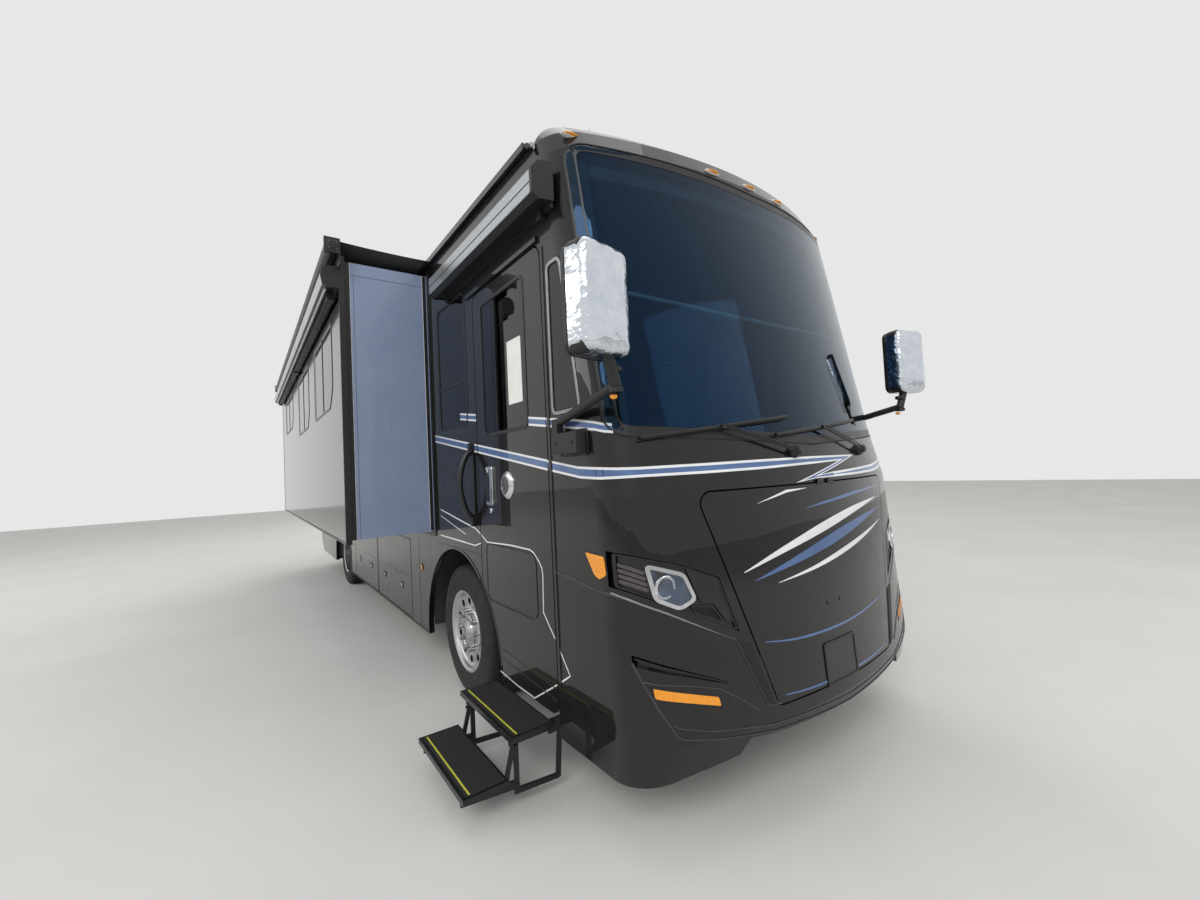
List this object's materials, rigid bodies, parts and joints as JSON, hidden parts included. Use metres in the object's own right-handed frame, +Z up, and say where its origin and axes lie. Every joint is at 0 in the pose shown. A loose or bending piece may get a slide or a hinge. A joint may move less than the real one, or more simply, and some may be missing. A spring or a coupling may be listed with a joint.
{
  "type": "motorhome",
  "caption": "Rear-engined coach-style motorhome with slide-outs, entry door and folding step, front hatch, storage bay doors, steered front wheels and twin rear wheels.",
  "frame": {"origin": "on the ground under the middle of the overall box", "axes": "+X to the driver's side, -Y out of the nose, +Z up"},
  "size_m": [4.042, 10.39, 3.785],
  "materials": {
    "paint": "gloss",
    "glass_tint": "clear",
    "glass_clear": "clear",
    "frame_black": "satin",
    "alloy": "polished",
    "tyre": "matte",
    "steel": "matte",
    "case_black": "satin",
    "trim_grey": "satin",
    "seat": "satin",
    "fabric_black": "matte",
    "lamp": "gloss",
    "white_plastic": "satin",
    "chrome": "polished",
    "wood": "satin",
    "deck": "matte"
  },
  "bodies": {
    "coach": {"chassis_frame": "frame_black", "frame_rails": "frame_black", "hitch_receiver": "frame_black", "springs": "steel", "slide_rollers": "steel", "stairwell": "deck", "storage_bays": "frame_black", "grab_handle": "case_black", "axles": "steel", "power_units": "steel", "tanks": "case_black", "floor_deck": "deck", "wall_right": "paint", "wall_left": "paint", "roof_panel": "white_plastic", "front_cap": "paint", "rear_cap": "paint", "windshield": "glass_clear", "side_glass": "glass_tint", "skirts": "paint", "dash": "trim_grey", "cabinets": "wood", "roof_units": "white_plastic", "door_awning": "case_black", "mirrors": "chrome", "wipers": "case_black", "lamps": "lamp"},
    "steering_column": {"steering_wheel": "case_black"},
    "driver_chair": {"seat_driver": "seat"},
    "passenger_chair": {"seat_passenger": "seat"},
    "door": {"entry_door": "paint", "entry_door_glass": "glass_tint"},
    "step": {"entry_step": "frame_black"},
    "hatch": {"front_hatch": "paint"},
    "engine_lid": {"engine_door": "paint"},
    "jacks": {"jack_feet": "steel"},
    "knuckle_right_body": {"knuckle_right": "steel"},
    "front_wheel_right": {"front_tyre_right": "tyre", "front_rim_right": "alloy"},
    "rear_wheel_right": {"rear_tyres_right": "tyre", "rear_rims_right": "alloy"},
    "slide_out_right": {"slide_right": "paint", "slide_glass_right": "glass_tint", "slide_awning_right": "case_black", "topper_right": "fabric_black"},
    "bay_right_1": {"bay_door_right_1": "paint"},
    "bay_right_2": {"bay_door_right_2": "paint"},
    "knuckle_left_body": {"knuckle_left": "steel"},
    "front_wheel_left": {"front_tyre_left": "tyre", "front_rim_left": "alloy"},
    "rear_wheel_left": {"rear_tyres_left": "tyre", "rear_rims_left": "alloy"},
    "slide_out_left": {"slide_left": "paint", "slide_glass_left": "glass_tint", "slide_awning_left": "case_black", "topper_left": "fabric_black"},
    "bay_left_1": {"bay_door_left_1": "paint"},
    "bay_left_2": {"bay_door_left_2": "paint"}
  },
  "joints": [
    {"name": "steer_right", "type": "hinge", "parent": "coach", "child": "knuckle_right_body", "pos_m": [-0.8925, -2.86, 0.49], "axis": [0, 0, 1], "range_deg": [-45, 45]},
    {"name": "front_wheel_right_roll", "type": "hinge", "parent": "knuckle_right_body", "child": "front_wheel_right", "pos_m": [-1.0625, -2.86, 0.49], "axis": [1, 0, 0], "continuous": true},
    {"name": "rear_wheel_right_roll", "type": "hinge", "parent": "coach", "child": "rear_wheel_right", "pos_m": [-1.0625, 2.425, 0.49], "axis": [1, 0, 0], "continuous": true},
    {"name": "slide_out_right_travel", "type": "slide", "parent": "coach", "child": "slide_out_right", "axis": [1, 0, 0], "range_m": [0, 0.625], "deforming": ["topper_right"]},
    {"name": "bay_door_right_1_lift", "type": "hinge", "parent": "coach", "child": "bay_right_1", "pos_m": [-1.23, -0.865, 1.083], "axis": [0, 1, 0], "range_deg": [0, 95]},
    {"name": "bay_door_right_2_lift", "type": "hinge", "parent": "coach", "child": "bay_right_2", "pos_m": [-1.23, 0.607, 1.083], "axis": [0, 1, 0], "range_deg": [0, 95]},
    {"name": "steer_left", "type": "hinge", "parent": "coach", "child": "knuckle_left_body", "pos_m": [0.8925, -2.86, 0.49], "axis": [0, 0, 1], "range_deg": [-45, 45]},
    {"name": "front_wheel_left_roll", "type": "hinge", "parent": "knuckle_left_body", "child": "front_wheel_left", "pos_m": [1.0625, -2.86, 0.49], "axis": [1, 0, 0], "continuous": true},
    {"name": "rear_wheel_left_roll", "type": "hinge", "parent": "coach", "child": "rear_wheel_left", "pos_m": [1.0625, 2.425, 0.49], "axis": [1, 0, 0], "continuous": true},
    {"name": "slide_out_left_travel", "type": "slide", "parent": "coach", "child": "slide_out_left", "axis": [-1, 0, 0], "range_m": [0, 0.625], "deforming": ["topper_left"]},
    {"name": "bay_door_left_1_lift", "type": "hinge", "parent": "coach", "child": "bay_left_1", "pos_m": [1.23, -0.865, 1.083], "axis": [0, -1, 0], "range_deg": [0, 95]},
    {"name": "bay_door_left_2_lift", "type": "hinge", "parent": "coach", "child": "bay_left_2", "pos_m": [1.23, 0.607, 1.083], "axis": [0, -1, 0], "range_deg": [0, 95]},
    {"name": "entry_door_swing", "type": "hinge", "parent": "coach", "child": "door", "pos_m": [-1.23, -4.306, 1.6], "axis": [0, 0, 1], "range_deg": [0, 88]},
    {"name": "entry_step_travel", "type": "slide", "parent": "coach", "child": "step", "axis": [1, 0, 0], "range_m": [0, 0.48]},
    {"name": "front_hatch_lift", "type": "hinge", "parent": "coach", "child": "hatch", "pos_m": [0, -5.123, 1.544], "axis": [-1, 0, 0], "range_deg": [0, 75]},
    {"name": "engine_door_lift", "type": "hinge", "parent": "coach", "child": "engine_lid", "pos_m": [0, 5.175, 1.463], "axis": [1, 0, 0], "range_deg": [0, 80]},
    {"name": "steering_wheel_turn", "type": "hinge", "parent": "coach", "child": "steering_column", "pos_m": [0.62, -4.135, 1.83], "axis": [0, 0.788, 0.6157], "range_deg": [-720, 720]},
    {"name": "driver_seat_swivel", "type": "hinge", "parent": "coach", "child": "driver_chair", "pos_m": [0.62, -3.445, 1.3], "axis": [0, 0, 1], "range_deg": [0, 180]},
    {"name": "passenger_seat_swivel", "type": "hinge", "parent": "coach", "child": "passenger_chair", "pos_m": [-0.56, -2.945, 1.3], "axis": [0, 0, 1], "range_deg": [0, 180]},
    {"name": "jack_travel", "type": "slide", "parent": "coach", "child": "jacks", "axis": [0, 0, -1], "range_m": [0, 0.25]}
  ],
  "couplings": [
    {"joint": "steer_left", "follows": "steer_right", "ratio": 1},
    {"joint": "steering_wheel_turn", "follows": "steer_right", "ratio": 16}
  ]
}
